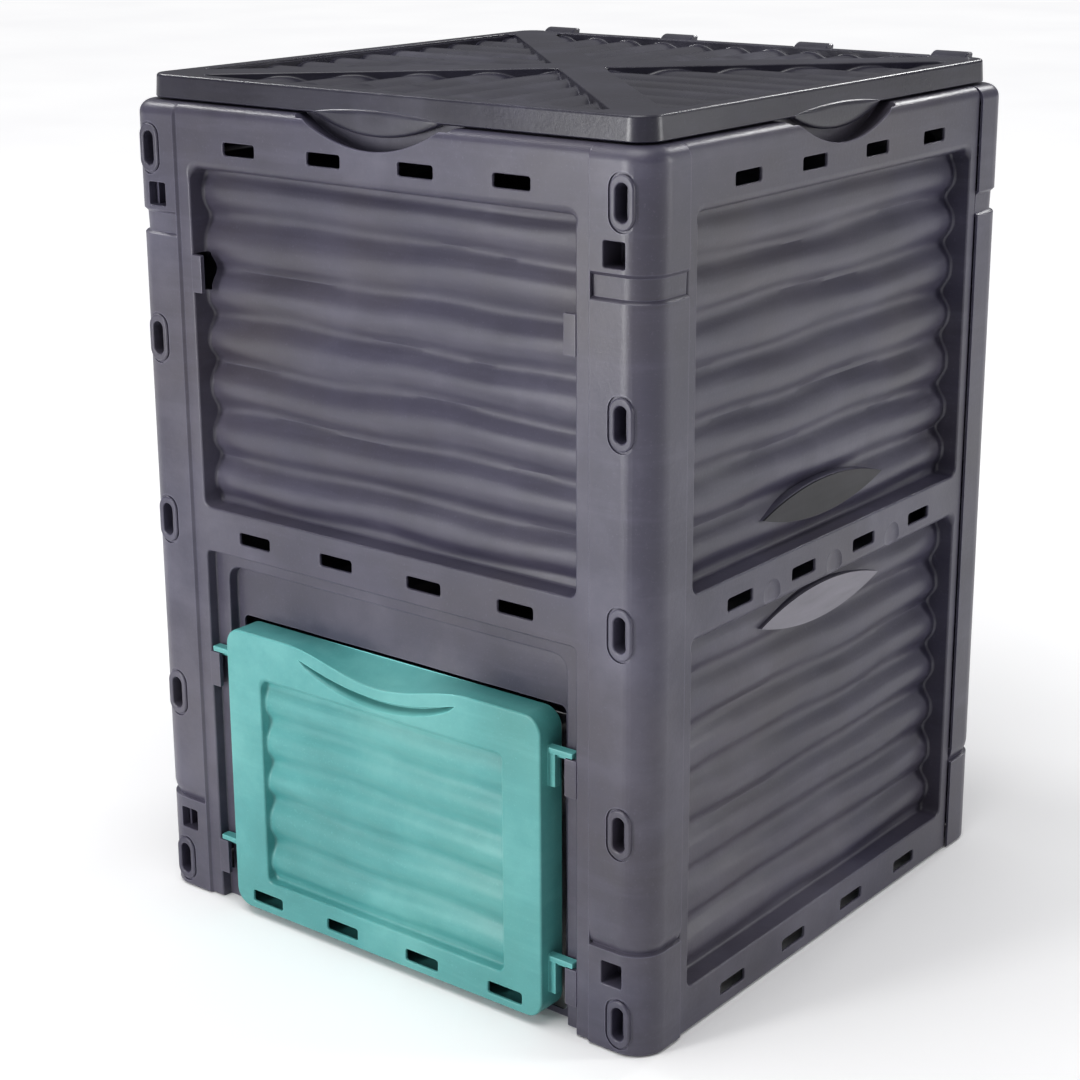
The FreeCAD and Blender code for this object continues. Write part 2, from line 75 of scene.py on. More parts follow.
BADGE_BULGE = (span("badge_right_upper", 2)[1] - span("badge_right_upper", 2)[0]) / 2
BADGE_SEAT = HALF - span("badge_right_upper", 0)[0]

# ---- sizes repeated from the design ----
SKIN = 2.5
CORNER_R = 30
SHOULDER_R = 13
FRAME_STEP = HALF - FACE
PILLAR_EDGE = 242
FLANGE_DEPTH = 30
FIELD_HALF = 226
SIDE_FIELD_HALF = 234
TOP_FIELD = (418, 745)
LOW_FIELD = (44, 372)
FIELD_DEPTH = 23
WAVES = 7
WAVE_HEIGHT = 4.5
VENT_HALF = (20, 6)
VENT_ROWS = (18, 393, 768)
VENT_COLUMNS = (-160, -54, 54, 160)
LATCH_X = 276
LATCH_SLOT_HALF = (6.5, 16)
LATCH_RIM_HALF = (12, 23)
LATCH_ROWS = (30, 213, 396, 579, 762)
PEG_HOLE_X = 268
PEG_HOLE_HALF = 11
PEG_HOLE_ROWS = (76, 719)
TOP_GROOVE = (681, 703)
LOW_GROOVE = (99, 112)
GROOVE_DEPTH = 4
GROOVE_FRONT = 244
GROOVE_SIDE = SEAM - 4
SCOOP_HALF = 86
SCOOP_DROP = 26
HATCH_HALF = 200
HATCH_TOP = 306
STRIP_DEPTH = 14
STRIP_WIDTH = 18
STRIP_HEIGHT = 15
FIXED_DEPTH = 24.5
TAB_TOPS = (65, 268, 665)
TAB_HEIGHT = 36
TAB_REACH = 11
DOOR_HALF = 195
DOOR_R = 18
DOOR_FIELD_HALF = 150
DOOR_FIELD = (43, 255)
DOOR_FIELD_DEPTH = 9
DOOR_WAVES = 5
DOOR_WAVE_HEIGHT = 3.6
DOOR_VENT_ROW = 22
DOOR_VENT_COLUMNS = (-152, -51, 51, 152)
DIMPLE_Z = 385
DIMPLE_COLUMNS = (-108, 0, 108)
LID_BOTTOM = 808
LID_R = 22
LID_RIM = 16
LID_BAND = 44
LID_SINK = 7
LID_RIB_DROP = 12
HINGE_R = 7
LUG_OFFSET = 15.5       # from the middle of a hinge to the middle of each lug
LUG_HALF = 4
KNUCKLE_HALF = 11

# ---- sizes of the looks alone, or unlike the design's ----
FRONT = -20             # cutters start this far in front of the pillar face
BELOW = -30             # cuts that are open at the bottom start here
ABOVE = 900             # and those that are open at the top end here
VOID_LOW = -20
SEAM_FLANGE = 9         # width of a front or back panel's solid edge at the seam
DRAFT = 0.6             # how far a recess's wall leans outwards
BASE_EDGE = 2.4         # height of the rounding at a wall's foot
SEAM_GAP = 0.6
HATCH_BOTTOM = 6        # below the door's rear rim, so that the sill stays clear of it
TAB_DEPTH = (1.8, 6)
WAVE_FADE = 14          # corrugations flatten this close to the ends of a field
SLOT_MOUTH = 1.6
WELL_DEPTH = 26         # how deep the latch slots and square holes are
BACKING = 1.5           # plastic kept behind them
LATCH_PROUD = 1.2
MOAT = 2.0              # width and depth of the thin groove round a latch rim
BLADE_HALF = (1.2, 12)
BLADE_DEPTH = (15, 25)
SCOOP_DEPTH = 25
SCOOP_HOLLOW = 7        # a scoop's hollow is this much larger than its opening in the skin
LID_EDGE_R = 3
WELL_R = 7
RIPPLE_LENGTH = 46
RIPPLE_HEIGHT = 3.2
LID_LIP_HALF = 79
LID_LIP_DROP = 18
LID_LIP_RISE = 6
COVER_R = (10, 16)
COVER_HALF = 20
DOOR_EDGE_R = 2.2
DOOR_SCOOP_HALF = 116
DOOR_SCOOP_DROP = 18
SLIT_ENDS = 290.5       # height of the handle slit at its ends
SLIT_SAG = 17.5


# ---- small mesh kit ----
def arc(steps, start=0.0, end=90.0):
    """Angles in radians from start to end degrees."""
    return [math.radians(start + (end - start) * i / steps) for i in range(steps + 1)]


def new_object(name, verts, faces):
    """Object from millimetre points, with its faces turned outwards."""
    mesh = bpy.data.meshes.new(name)
    mesh.from_pydata([Vector(v) * MM for v in verts], [], faces)
    shape = bmesh.new()
    shape.from_mesh(mesh)
    bmesh.ops.recalc_face_normals(shape, faces=shape.faces)
    shape.to_mesh(mesh)
    shape.free()
    piece = bpy.data.objects.new(name, mesh)
    bpy.context.scene.collection.objects.link(piece)
    return piece


def loft(loops, ring=False):
    """Skin through closed loops of points: ends capped, or the last loop joined to the first."""
    count = len(loops[0])
    verts = [p for loop in loops for p in loop]
    faces = []
    rows = len(loops) if ring else len(loops) - 1
    for k in range(rows):
        a, b = k * count, (k + 1) % len(loops) * count
        for i in range(count):
            j = (i + 1) % count
            faces.append((a + i, a + j, b + j, b + i))
    if not ring:
        faces.append(tuple(range(count))[::-1])
        faces.append(tuple(range((len(loops) - 1) * count, len(loops) * count)))
    return verts, faces


def gather(parts):
    """One (verts, faces) pair from several."""
    verts, faces = [], []
    for part_verts, part_faces in parts:
        base = len(verts)
        verts += part_verts
        faces += [tuple(i + base for i in face) for face in part_faces]
    return verts, faces


def turned(part, degrees):
    turn = Matrix.Rotation(math.radians(degrees), 3, "Z")
    return [tuple(turn @ Vector(v)) for v in part[0]], part[1]


def mirrored(part):
    return [(-x, y, z) for x, y, z in part[0]], [face[::-1] for face in part[1]]


def both_sides(part):
    return [part, mirrored(part)]


def apply_modifiers(piece):
    graph = bpy.context.evaluated_depsgraph_get()
    done = bpy.data.meshes.new_from_object(piece.evaluated_get(graph))
    piece.modifiers.clear()
    piece.data = done


def combine(piece, parts, operation="DIFFERENCE"):
    """Cuts closed parts out of a piece, or adds them to it."""
    tool = parts if isinstance(parts, bpy.types.Object) else new_object("tool", *gather(parts))
    step = piece.modifiers.new("step", "BOOLEAN")
    step.operation = operation
    step.solver = "MANIFOLD"
    step.object = tool
    bpy.context.view_layer.update()
    apply_modifiers(piece)
    bpy.data.objects.remove(tool)


def finish_shading(piece, angle=32):
    """Smooth shading that keeps flats flat and hard creases hard."""
    shape = bmesh.new()
    shape.from_mesh(piece.data)
    bmesh.ops.remove_doubles(shape, verts=shape.verts, dist=0.02 * MM)
    bmesh.ops.dissolve_degenerate(shape, edges=shape.edges, dist=0.01 * MM)
    limit = math.radians(angle)
    for face in shape.faces:
        face.smooth = True
    for edge in shape.edges:
        edge.smooth = len(edge.link_faces) == 2 and edge.calc_face_angle(0) < limit
    shape.to_mesh(piece.data)
    shape.free()
    weighted = piece.modifiers.new("flat faces stay flat", "WEIGHTED_NORMAL")
    weighted.keep_sharp = True
    weighted.weight = 80
    bpy.context.view_layer.update()
    apply_modifiers(piece)


# ---- cutter and boss shapes, facing -Y ----
def at(x, depth, z):
    """Point of a wall that faces -Y, depth behind the pillar face."""
    return (x, depth - HALF, z)


def rounded_outline(half_x, half_z, radius, steps=5):
    """Closed outline of a rounded rectangle round (0, 0), as (x, z) pairs."""
    points = []
    for sx, sz, start in ((1, 1, 0), (-1, 1, 90), (-1, -1, 180), (1, -1, 270)):
        for angle in arc(steps, start, start + 90):
            points.append(
                (
                    sx * (half_x - radius) + radius * math.cos(angle),
                    sz * (half_z - radius) + radius * math.sin(angle),
                )
            )
    return points


def stacked(x, z, half_x, half_z, radius, levels, steps=8, ring=False):
    """Loft through rounded rectangles round (x, z), one for each (depth, grow) in levels."""
    loops = []
    for depth, grow in levels:
        outline = rounded_outline(half_x + grow, half_z + grow, radius + grow, steps)
        loops.append([at(x + u, depth, z + v) for u, v in outline])
    return loft(loops, ring)


def starting_at(depth, part):
    """Cutter whose points in front of depth are pulled back to it."""
    verts, faces = part
    return [(x, max(y, depth - HALF), z) for x, y, z in verts], faces


def hole(x, z, half_x, half_z, radius, face, through, mouth=1.2, steps=5):
    """Cutter for a hole with a rounded rim at depth face."""
    levels = [(FRONT, mouth)]
    levels += [(face + mouth * (1 - math.cos(a)), mouth * (1 - math.sin(a))) for a in arc(4)]
    levels.append((through, 0))
    return stacked(x, z, half_x, half_z, radius, levels, steps)


def boss(x, z, half_x, half_z, radius, proud, back, edge=1.2):
    """Raised rim with a rounded outer edge."""
    levels = [(back, 0)]
    levels += [(-proud + edge * (1 - math.sin(a)), -edge * (1 - math.cos(a))) for a in arc(4)]
    return stacked(x, z, half_x, half_z, radius, levels)


def moat(x, z, half_x, half_z, radius, width, depth):
    """Narrow groove round a rounded outline."""
    levels = ((FRONT, 0), (depth, 0), (depth, width), (FRONT, width))
    return stacked(x, z, half_x, half_z, radius, levels, ring=True)


def block(x0, x1, d0, d1, z0, z1, edge=0.8):
    """Small closed block with rounded edges all along its depth and at its front."""
    levels = ((d0, -edge), (d0 + 0.3 * edge, -0.3 * edge), (d0 + edge, 0), (d1, 0))
    return stacked(
        (x0 + x1) / 2, (z0 + z1) / 2, (x1 - x0) / 2, (z1 - z0) / 2, edge + 0.01, levels, steps=3
    )


def spaced(half, step, corner):
    """Grid lines from -half to half, closer together beside the ends."""
    near = [corner * f for f in (0, 0.3, 0.6, 1, 1.5)]
    inner = half - near[-1]
    count = max(2, round(2 * inner / step))
    lines = [-half + n for n in near[:-1]]
    lines += [-inner + 2 * inner * i / count for i in range(count + 1)]
    lines += [half - n for n in near[-2::-1]]
    return lines


def softened(x, z, half_x, half_z, radius):
    """Moves a point of a rectangle so that the rectangle's corners become round."""
    cx = abs(x) - (half_x - radius)
    cz = abs(z) - (half_z - radius)
    if cx <= 0 or cz <= 0:
        return x, z
    pull = max(cx, cz) / math.hypot(cx, cz)
    return (
        math.copysign(half_x - radius + cx * pull, x),
        math.copysign(half_z - radius + cz * pull, z),
    )


def border(last_i, last_j):
    """Places along the border of a grid, once round."""
    places = [(i, 0) for i in range(last_i)] + [(last_i, j) for j in range(last_j)]
    places += [(i, last_j) for i in range(last_i, 0, -1)] + [(0, j) for j in range(last_j, 0, -1)]
    return places


def outward(x, z, half_x, half_z, radius):
    """Direction out of a rounded rectangle at a point of its edge."""
    cx, cz = abs(x) - (half_x - radius), abs(z) - (half_z - radius)
    if cx > 0 and cz > 0:
        length = math.hypot(cx, cz)
        return math.copysign(cx / length, x), math.copysign(cz / length, z)
    if cx > cz:
        return math.copysign(1, x), 0
    return 0, math.copysign(1, z)


def wall_place(kind, angle, depth, rim_r, face, foot):
    """How far a point of a recess's wall lies outside its floor, and at what depth."""
    if kind == "foot":
        return foot * math.sin(angle), depth - foot * (1 - math.cos(angle))
    if kind == "mouth":
        return foot + DRAFT + rim_r * (1 - math.cos(angle)), face + rim_r * (1 - math.sin(angle))
    return foot + DRAFT + rim_r, FRONT


def pocket(limits, face, floor, relief=None, corner=8, mouth=2, top_mouth=None, foot=3, steps=(9, 4)):
    """Cutter for a recess: a floor grid that follows relief(x, z), soft foot, wall and rounded rim."""
    x0, x1, z0, z1 = limits
    half_x, half_z = (x1 - x0) / 2, (z1 - z0) / 2
    mid_x, mid_z = (x0 + x1) / 2, (z0 + z1) / 2
    inner_x, inner_z, inner_r = half_x - foot, half_z - foot, corner - foot
    columns = spaced(inner_x, steps[0], inner_r)
    rows = spaced(inner_z, steps[1], inner_r)
    verts, faces, index = [], [], {}
    for j, z in enumerate(rows):
        for i, x in enumerate(columns):
            u, v = softened(x, z, inner_x, inner_z, inner_r)
            depth = floor + (relief(mid_x + u, mid_z + v) if relief else 0)
            index[i, j] = len(verts)
            verts.append(at(mid_x + u, depth, mid_z + v))
    last_i, last_j = len(columns) - 1, len(rows) - 1
    for j in range(last_j):
        for i in range(last_i):
            faces.append((index[i, j], index[i + 1, j], index[i + 1, j + 1], index[i, j + 1]))
    previous = [index[place] for place in border(last_i, last_j)]
    sides = []
    for place in previous:
        x, y, z = verts[place]
        out = outward(x - mid_x, z - mid_z, inner_x, inner_z, inner_r)
        rim_r = mouth + ((top_mouth or mouth) - mouth) * max(0, out[1])
        sides.append((x, y + HALF, z, out, rim_r))
    levels = [("foot", a) for a in arc(4)[1:]] + [("mouth", a) for a in arc(4)] + [("front", 0)]
    for kind, angle in levels:
        current = []
        for x, depth, z, out, rim_r in sides:
            grow, level = wall_place(kind, angle, depth, rim_r, face, foot)
            current.append(len(verts))
            verts.append(at(x + out[0] * grow, level, z + out[1] * grow))
        for i in range(len(current)):
            j = (i + 1) % len(current)
            faces.append((previous[i], previous[j], current[j], current[i]))
        previous = current
    faces.append(tuple(previous))
    return verts, faces


def grown(limits, by=SKIN):
    x0, x1, z0, z1 = limits
    return x0 - by, x1 + by, z0 - by, z1 + by


# ---- reliefs ----
def swell(phase):
    """Wave with broad crests and narrower troughs; 1 is a crest."""
    return math.cos(phase) - 0.18 * math.cos(2 * phase)


def corrugation(z0, z1, waves, height, seed):
    """Depth of a slightly warped corrugated skin with its crests along X."""

    def relief(x, z):
        drift = noise.noise(Vector((x / 130, z / 60, seed)))
        swing = noise.noise(Vector((x / 110, z / 50, seed + 9)))
        crease = noise.noise(Vector((x / 120, z / 12, seed + 17)))
        phase = 2 * math.pi * waves * (z - z0) / (z1 - z0) + math.pi + 0.75 * drift
        ends = min(1.0, (z - z0) / WAVE_FADE, (z1 - z) / WAVE_FADE)
        return -(height * swell(phase) * (1 + 0.22 * swing) + 0.55 * crease) * max(0.25, ends)

    return relief


def fixed_relief(x, z):
    """The plain panel above the hatch is a little wavy."""
    wave = 1.1 * math.sin(x / 34) * math.sin((z - HATCH_TOP) / 22)
    return wave + 0.8 * noise.noise(Vector((x / 60, z / 30, 3)))


# ---- wall panels ----
def shoulder(z, radius):
    """How far the rounded top edge has moved in at height z, past its own face."""
    rise = max(0.0, z - (WALL_TOP - radius))
    return radius - math.sqrt(max(0.0, radius**2 - rise**2))


def heights():
    """Heights of a panel's horizontal loops: rounded base, straight wall and shoulder."""
    levels = [0, 0.7, BASE_EDGE]
    levels += [WALL_TOP - SHOULDER_R * (1 - math.sin(a)) for a in arc(8)]
    return levels


def base_inset(z):
    """How far the rounded foot of a wall is in at height z."""
    return max(0.0, BASE_EDGE - z) ** 2 / BASE_EDGE


def corner_plan(inset, face_inset):
    """Plan of a front or back panel: round the corners from seam to seam, then back inside."""
    half = HALF - inset
    face = HALF - face_inset
    radius = CORNER_R - inset
    right = [(half, -SEAM)]
    centre = HALF - CORNER_R
    right += [(centre + radius * math.cos(a), -centre - radius * math.sin(a)) for a in arc(12)]
    for across, share in ((1.2, 0), (0.4, 0.25), (-0.4, 0.75), (-1.2, 1)):
        right.append((PILLAR_EDGE + across, -half + share * (half - face)))
    inner = HALF - FLANGE_DEPTH
    right = [(inner, -inner), (inner, -SEAM)] + right
    return right + [(-x, y) for x, y in right[::-1]]


def corner_block():
    loops = []
    for z in heights():
        inset = shoulder(z, SHOULDER_R) + base_inset(z)
        face_inset = FRAME_STEP + shoulder(z, SHOULDER_R - FRAME_STEP) + base_inset(z)
        loops.append([(x, y, z) for x, y in corner_plan(inset, max(face_inset, inset + 0.02))])
    return loft(loops)


def side_block():
    """Side panel between the seams, with rounded upright edges."""
    edge = 2.5
    half = SEAM - SEAM_GAP
    loops = []
    for z in heights():
        inset = FRAME_STEP + shoulder(z, SHOULDER_R - FRAME_STEP) + base_inset(z)
        outline = [(half - edge * (1 - math.cos(a)), inset + edge * (1 - math.sin(a))) for a in arc(4)]
        outline = [(half, FLANGE_DEPTH)] + outline
        outline += [(-x, depth) for x, depth in outline[::-1]]
        loops.append([at(x, depth, z) for x, depth in outline])
    return loft(loops)


def groove(z0, z1, ramp, deeper=0.0):
    """Groove round the pillar. With a ramp it deepens downwards to a crease at its lower edge."""
    deep = GROOVE_DEPTH + deeper
    if ramp:
        profile = [
            (FRONT, z1 + 1), (0, z1 + 1), (1, z1 - 5),
            (deep, z0 + 0.8), (0, z0 - 0.6), (FRONT, z0 - 0.6),
        ]
    else:
        profile = [
            (FRONT, z1 + 1), (0, z1 + 1), (0.8, z1), (deep - 0.6, z1 - 2.5),
            (deep, z0 + 1.5), (0.9, z0), (0, z0 - 1.2), (FRONT, z0 - 1.2),
        ]
    centre = HALF - CORNER_R
    loops = []
    stations = [(GROOVE_FRONT, None)] + [(None, a) for a in arc(12, 90, 0)] + [(GROOVE_SIDE, "side")]
    for place, angle in stations:
        loop = []
        for depth, z in profile:
            radius = CORNER_R - depth
            if angle is None:
                loop.append((place, -HALF + depth, z))
            elif angle == "side":
                loop.append((HALF - depth, -place, z))
            else:
                loop.append((centre + radius * math.cos(angle), -centre - radius * math.sin(angle), z))
        loops.append(loop)
    return loft(loops)


def scoop(extra=0.0):
    """Finger scoop in a wall's top edge: a bow-shaped cut in the skin with a deeper hollow behind."""
    edge = FRAME_STEP + SKIN
    depths = [(FRONT, 1), (FRAME_STEP, 1), (FRAME_STEP + 0.3, 0.3), (FRAME_STEP + 1, 0)]
    hollow = SCOOP_HOLLOW + extra
    depths += [(edge - extra, extra), (edge + 0.3 - extra, hollow), (SCOOP_DEPTH + extra, hollow)]
    loops = []
    steps = 28
    for depth, grow in depths:
        loop = []
        for i in range(steps + 1):
            t = -1 + 2 * i / steps
            drop = (SCOOP_DROP + grow) * (1 - t * t)
            loop.append(at((SCOOP_HALF + grow) * t, depth, WALL_TOP - drop))
        loop.append(at(SCOOP_HALF + grow, depth, WALL_TOP + 6))
        loop.append(at(-SCOOP_HALF - grow, depth, WALL_TOP + 6))
        loops.append(loop)
    return loft(loops)


def vent_row(z, face, columns=VENT_COLUMNS):
    return [hole(x, z, *VENT_HALF, 2.5, face, face + 8) for x in columns]


def latch_slots():
    radius = LATCH_SLOT_HALF[0]
    parts = []
    for z in LATCH_ROWS:
        slot = hole(LATCH_X, z, *LATCH_SLOT_HALF, radius, -LATCH_PROUD, WELL_DEPTH, SLOT_MOUTH, 8)
        parts += both_sides(slot)
    return parts


def latch_rims():
    root, edge = 9, 1.8
    parts = []
    for z in LATCH_ROWS:
        parts += both_sides(boss(LATCH_X, z, *LATCH_RIM_HALF, LATCH_RIM_HALF[0], LATCH_PROUD, root, edge))
    return parts


def latch_moats():
    parts = []
    for z in LATCH_ROWS:
        parts += both_sides(moat(LATCH_X, z, *LATCH_RIM_HALF, LATCH_RIM_HALF[0], MOAT, MOAT))
    return parts


def pillar_cuts():
    parts = []
    for z in PEG_HOLE_ROWS:
        parts += both_sides(hole(PEG_HOLE_X, z, PEG_HOLE_HALF, PEG_HOLE_HALF, 1.6, 0, WELL_DEPTH))
    parts += both_sides(groove(*TOP_GROOVE, ramp=False))
    parts += both_sides(groove(*LOW_GROOVE, ramp=True))
    return parts


def wave_pocket(half, limits, seed, reach=0.0):
    """Corrugated field, or with a reach its grown copy that shapes the skin's inner side."""
    relief = corrugation(*limits, WAVES, WAVE_HEIGHT, seed)
    area = grown((-half, half, *limits), reach)
    if reach:
        return pocket(area, FRAME_STEP, FIELD_DEPTH + reach, relief, 8 + reach, 2, 9, 3, (18, 6))
    return pocket(area, FRAME_STEP, FIELD_DEPTH, relief, 8, 2, 9, 3)


def side_void(grown_pockets):
    """Space behind a side panel's skin. Flanges stay round the recesses."""
    x = SEAM - SKIN
    rim_depth = FRAME_STEP + SKIN
    loops = []
    top = WALL_TOP - SKIN
    for z in [VOID_LOW] + [top - SHOULDER_R + SHOULDER_R * math.sin(a) for a in arc(6)]:
        inset = rim_depth + (0 if z < 0 else shoulder(z + SKIN, SHOULDER_R))
        loops.append([at(-x, inset, z), at(x, inset, z), at(x, 60, z), at(-x, 60, z)])
    space = new_object("void", *loft(loops))
    for part in grown_pockets:
        combine(space, [part])
    return space


def backings():
    """Plastic kept inside the pillars behind the grooves, the latch slots and the square holes."""
    parts = []
    for z0, z1 in (TOP_GROOVE, LOW_GROOVE):
        parts += both_sides(groove(z0 - SKIN, z1 + SKIN, False, SKIN))
    through = WELL_DEPTH + BACKING
    latch_half = LATCH_SLOT_HALF[0] + BACKING
    for z in LATCH_ROWS:
        parts += both_sides(hole(LATCH_X, z, latch_half, 20, 8, 0, through, 0.1, 6))
    peg_half = PEG_HOLE_HALF + 2
    for z in PEG_HOLE_ROWS:
        parts += both_sides(hole(PEG_HOLE_X, z, peg_half, peg_half, 2, 0, through, 0.1))
    return parts


def corner_void(grown_pockets):
    """Space inside a front or back panel, round its corners."""
    loops = []
    for z in [VOID_LOW] + heights()[2:]:
        top = z - SKIN if z > 3 else z
        inset = SKIN + shoulder(z, SHOULDER_R)
        face = SKIN + FRAME_STEP + shoulder(z, SHOULDER_R - FRAME_STEP)
        plan = corner_plan(inset, max(face, inset + 0.02))[2:-2]
        plan = [(plan[0][0], SEAM_FLANGE - SEAM)] + plan + [(plan[-1][0], SEAM_FLANGE - SEAM)]
        loops.append([(x, y, top) for x, y in plan])
    space = new_object("void", *loft(loops))
    for part in grown_pockets + backings():
        combine(space, [part])
    return space


def mouth_void():
    """Inside the walls' inner edge everything is open, up through the rim."""
    inner = HALF - FLANGE_DEPTH
    corners = ((-inner, -inner), (inner, -inner), (inner, inner), (-inner, inner))
    return loft([[(x, y, z) for x, y in corners] for z in (BELOW, ABOVE)])


def tabs():
    """Tabs that the door's hooks hang on, and the upper pair for the opened door."""
    parts = []
    for top in TAB_TOPS:
        tab = block(FIELD_HALF - TAB_REACH, FIELD_HALF + 2, *TAB_DEPTH, top - TAB_HEIGHT, top)
        parts += both_sides(tab)
    return parts


def tab_holes():
    """Openings in the field's side walls, behind the tabs."""
    parts = []
    for top in TAB_TOPS:
        low, high = top - TAB_HEIGHT, top + 1
        shape = hole(FIELD_HALF, (low + high) / 2, 6, (high - low) / 2, 1, TAB_DEPTH[1], 40, 0.01, 2)
        parts += both_sides(starting_at(TAB_DEPTH[1] + 2, shape))
    return parts


def pillared(name):
    """Block of a front or back panel, with the latch rims on its pillars."""
    wall = new_object(name, *corner_block())
    combine(wall, latch_moats())
    combine(wall, latch_rims(), "UNION")
    return wall


def front_wall():
    wall = pillared("front_wall")
    recess = (-FIELD_HALF, FIELD_HALF, BELOW, LOW_FIELD[1])
    inner = FIELD_HALF - STRIP_WIDTH
    fixed = (-inner, inner, BELOW, LOW_FIELD[1] - STRIP_HEIGHT)
    cuts = [wave_pocket(FIELD_HALF, TOP_FIELD, 1.3)]
    cuts.append(pocket(recess, FRAME_STEP, STRIP_DEPTH, corner=5, foot=1.5))
    cuts += vent_row(VENT_ROWS[1], FRAME_STEP) + vent_row(VENT_ROWS[2], FRAME_STEP)
    combine(wall, cuts + pillar_cuts() + latch_slots())
    combine(wall, [scoop()])
    combine(wall, [pocket(fixed, STRIP_DEPTH, FIXED_DEPTH, fixed_relief, 14, 1.5, None, 2)])
    space = corner_void(
        [
            wave_pocket(FIELD_HALF, TOP_FIELD, 1.3, SKIN),
            scoop(SKIN),
            pocket(grown(recess), 0, STRIP_DEPTH + SKIN, corner=6, mouth=0.1, foot=1.5),
            pocket(grown(fixed), 0, FIXED_DEPTH + SKIN, corner=14, mouth=0.1, foot=2),
        ]
    )
    combine(wall, space)
    combine(wall, [mouth_void()])
    middle, half_z = (HATCH_TOP + HATCH_BOTTOM) / 2, (HATCH_TOP - HATCH_BOTTOM) / 2
    hatch = hole(0, middle, HATCH_HALF, half_z, 6, face=20, through=50)
    combine(wall, [starting_at(18, hatch)])
    combine(wall, tab_holes())
    combine(wall, tabs(), "UNION")
    return wall


def back_wall():
    wall = pillared("back_wall")
    cuts = [wave_pocket(FIELD_HALF, TOP_FIELD, 5.1), wave_pocket(FIELD_HALF, LOW_FIELD, 6.7)]
    for row in VENT_ROWS:
        cuts += vent_row(row, FRAME_STEP)
    combine(wall, cuts + pillar_cuts() + latch_slots())
    space = corner_void(
        [wave_pocket(FIELD_HALF, TOP_FIELD, 5.1, SKIN), wave_pocket(FIELD_HALF, LOW_FIELD, 6.7, SKIN)]
    )
    combine(wall, space)
    combine(wall, [mouth_void()])
    combine(wall, hinge_lugs(), "UNION")
    wall.data.transform(Matrix.Rotation(math.pi, 4, "Z"))
    return wall


def chamfered(half, edge=0.6):
    """Places across a round part, with the change of radius that rounds its ends."""
    return (-half, -edge), (edge - half, 0), (half - edge, 0), (half, -edge)


def hinge_lugs():
    """Pairs of lugs on the back wall's top edge, with their feet on the rim."""
    parts = []
    for middle in PIN_MIDDLES:
        for side in (-1, 1):
            x = middle + side * LUG_OFFSET
            loops = []
            for across, grow in chamfered(LUG_HALF):
                r = HINGE_R + grow
                y, foot = -HINGE[1], WALL_TOP - 2
                top = [(y + r * math.cos(a), HINGE[2] + r * math.sin(a)) for a in arc(14, 180, 0)]
                outline = [(y - r, foot), *top, (y + r, foot)]
                loops.append([(x + across, y, z) for y, z in outline])
            parts.append(loft(loops))
    return parts


def seam_strips():
    """Edge strips that reach inside the neighbouring pillars and close the seams from inside."""
    return both_sides(block(SEAM - 4, HALF - 9, FLANGE_DEPTH - 3, FLANGE_DEPTH, 2, WALL_TOP - 18, 0.5))


def badge_pads():
    parts = []
    for row in BADGE_ROWS:
        loops = []
        for depth, grow in ((BADGE_SEAT + 9, 0.6), (BADGE_SEAT + 0.6, 0.6), (BADGE_SEAT, 0)):
            loops.append([at(u, depth, row + v) for u, v in lens(BADGE_HALF + grow, BADGE_BULGE + grow)])
        parts.append(loft(loops))
    return parts


def lens(half, bulge, steps=24):
    """Lens outline: two shallow arcs that meet in points."""
    upper = [(half * (1 - 2 * i / steps), 4 * bulge * i / steps * (1 - i / steps)) for i in range(steps)]
    return upper + [(-u, -v) for u, v in upper]


def dimples():
    """Shallow round dishes along the middle band."""
    parts = []
    for x in DIMPLE_COLUMNS:
        loops = []
        for depth, radius in ((FRONT, 14), (FRAME_STEP, 14), (3.8, 13), (4.7, 10.5), (5.1, 7), (5.2, 3)):
            circle = [(radius * math.cos(a), radius * math.sin(a)) for a in arc(32, 0, 348.75)]
            loops.append([at(x + u, depth, DIMPLE_Z + v) for u, v in circle])
        parts.append(loft(loops))
    return parts


def side_wall(name, turn, seed):
    wall = new_object(name, *side_block())
    half = SIDE_FIELD_HALF
    cuts = [wave_pocket(half, TOP_FIELD, seed), wave_pocket(half, LOW_FIELD, seed + 2)]
    cuts.append(scoop())
    combine(wall, cuts)
    space = side_void(
        [wave_pocket(half, TOP_FIELD, seed, SKIN), wave_pocket(half, LOW_FIELD, seed + 2, SKIN), scoop(SKIN)]
    )
    combine(wall, space)
    combine(wall, seam_strips(), "UNION")
    vents = []
    for row in VENT_ROWS:
        vents += vent_row(row, FRAME_STEP)
    combine(wall, dimples())
    combine(wall, vents)
    combine(wall, badge_pads(), "UNION")
    wall.data.transform(Matrix.Rotation(math.radians(turn), 4, "Z"))
    return wall


def latch_tongues(name, turn):
    """Blades of a side panel that show in the neighbouring pillars' latch slots."""
    half_x, half_z = BLADE_HALF
    parts = []
    for z in LATCH_ROWS:
        for x in (-LATCH_X, LATCH_X):
            parts.append(block(x - half_x, x + half_x, *BLADE_DEPTH, z - half_z, z + half_z, 0.6))
    blades = new_object(name, *gather(parts))
    blades.data.transform(Matrix.Rotation(math.radians(turn), 4, "Z"))
    return blades


# ---- lid ----
def square_loop(half, radius, z, steps=8):
    return [(u, v, z) for u, v in rounded_outline(half, half, radius, steps)]


def lid_block():
    lean, edge = 1.2, LID_EDGE_R
    levels = [(LID_BOTTOM, 1), (LID_BOTTOM + 1, 0), (LID_TOP - edge, lean)]
    levels += [(LID_TOP - edge * (1 - math.sin(a)), lean + edge * (1 - math.cos(a))) for a in arc(5)[1:]]
    return loft([square_loop(LID_HALF - inset, LID_R - inset, z) for z, inset in levels])


